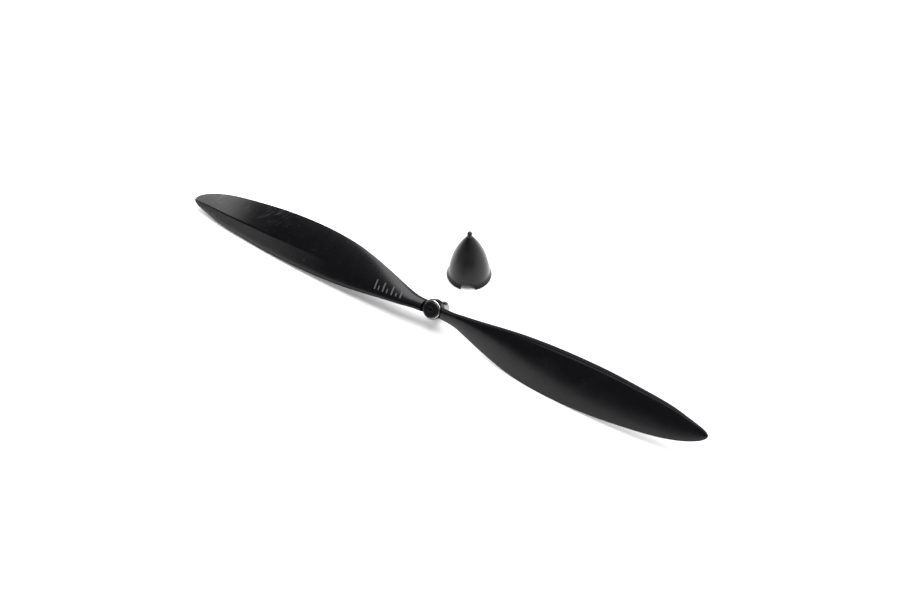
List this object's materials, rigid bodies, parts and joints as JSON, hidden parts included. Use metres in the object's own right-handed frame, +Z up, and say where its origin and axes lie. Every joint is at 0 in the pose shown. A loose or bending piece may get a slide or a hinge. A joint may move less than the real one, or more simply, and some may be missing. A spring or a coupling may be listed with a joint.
{
  "type": "propeller",
  "caption": "Two-bladed model aircraft propeller on a metal shaft adapter with screw and washer, with its loose spinner standing beside it.",
  "frame": {"origin": "centre of the bounding box at the table surface, under the leaning propeller and its spinner", "axes": "+X along the propeller's span, +Y from the propeller to the spinner, +Z up from the table"},
  "size_m": [0.1498, 0.029, 0.0153],
  "materials": {
    "blade_plastic": "semi-gloss",
    "spinner_plastic": "satin",
    "bright_metal": "polished",
    "washer_metal": "polished",
    "black_steel": "satin"
  },
  "bodies": {
    "propeller": {"propeller": "blade_plastic"},
    "adapter": {"shaft_adapter": "bright_metal"},
    "washer": {"hub_washer": "washer_metal"},
    "screw": {"hub_screw": "black_steel"},
    "spinner": {"spinner": "spinner_plastic"}
  },
  "joints": [
    {"name": "propeller_turn", "type": "hinge", "parent": "propeller", "child": "adapter", "pos_m": [-0.00001, -0.01052, 0.0056], "axis": [-0.0168, -0.7812, 0.6241], "continuous": true},
    {"name": "screw_out", "type": "slide", "parent": "adapter", "child": "washer", "axis": [-0.0168, -0.7812, 0.6241], "range_m": [0, 0.0021]},
    {"name": "screw_turn", "type": "hinge", "parent": "washer", "child": "screw", "pos_m": [-0.00001, -0.01052, 0.0056], "axis": [-0.0168, -0.7812, 0.6241], "range_deg": [0, 2520]},
    {"name": "spinner_lift", "type": "slide", "parent": "propeller", "child": "spinner", "axis": [0, 0, 1], "range_m": [0, 0.03]}
  ],
  "couplings": [
    {"joint": "screw_turn", "follows": "screw_out", "rad_per_m": 20944}
  ]
}
